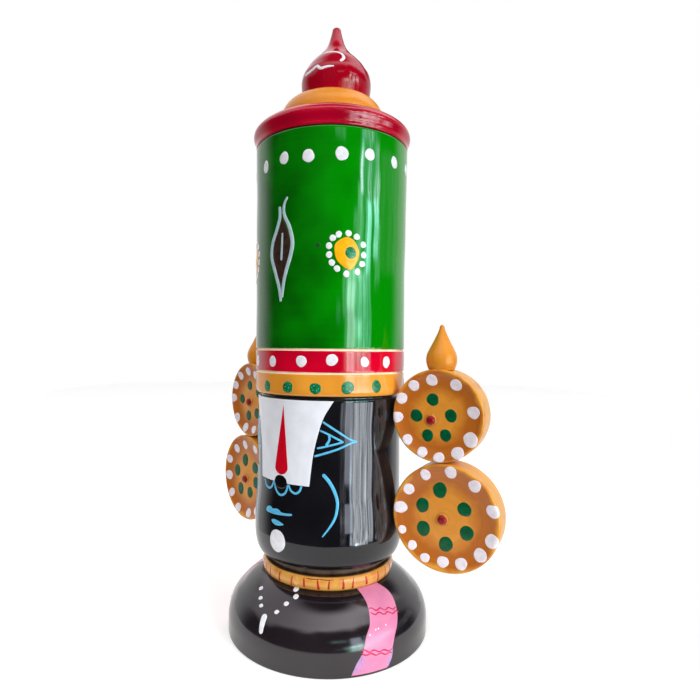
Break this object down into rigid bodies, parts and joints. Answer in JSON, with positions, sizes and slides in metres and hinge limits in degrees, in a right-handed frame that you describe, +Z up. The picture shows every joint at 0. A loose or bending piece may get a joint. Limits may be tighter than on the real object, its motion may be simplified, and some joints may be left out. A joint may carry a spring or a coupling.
{
  "type": "lacquered wooden balaji figure",
  "caption": "Turned, lacquered wooden figure with a tall cylindrical crown, a dished disc ear ornament on each side and a squat shouldered base.",
  "frame": {"origin": "centre of the underside of the base, on the surface that the figure stands on", "axes": "+Z up along the turned body; the face looks along -Y; +X to the figure's own left ear"},
  "size_m": [0.1448, 0.0834, 0.2532],
  "materials": {
    "black_lacquer": "turned wood under high gloss black lacquer",
    "ring_lacquer": "turned wood under glossy orange yellow lacquer",
    "crown_lacquer": "turned wood under high gloss green lacquer, with a red and a yellow band",
    "cap_lacquer": "turned wood under high gloss red lacquer, with a yellow dome",
    "red_lacquer": "turned wood under high gloss red lacquer",
    "disc_lacquer": "turned wood under satin orange yellow lacquer, with painted dots"
  },
  "bodies": {
    "root": {"base": "black_lacquer", "neck_ring": "ring_lacquer", "head": "black_lacquer", "crown": "crown_lacquer", "cap": "cap_lacquer", "finial": "red_lacquer", "left_ear_upper_disc": "disc_lacquer", "left_ear_lower_disc": "disc_lacquer", "left_ear_drop": "ring_lacquer", "right_ear_upper_disc": "disc_lacquer", "right_ear_lower_disc": "disc_lacquer", "right_ear_drop": "ring_lacquer"}
  },
  "joints": []
}
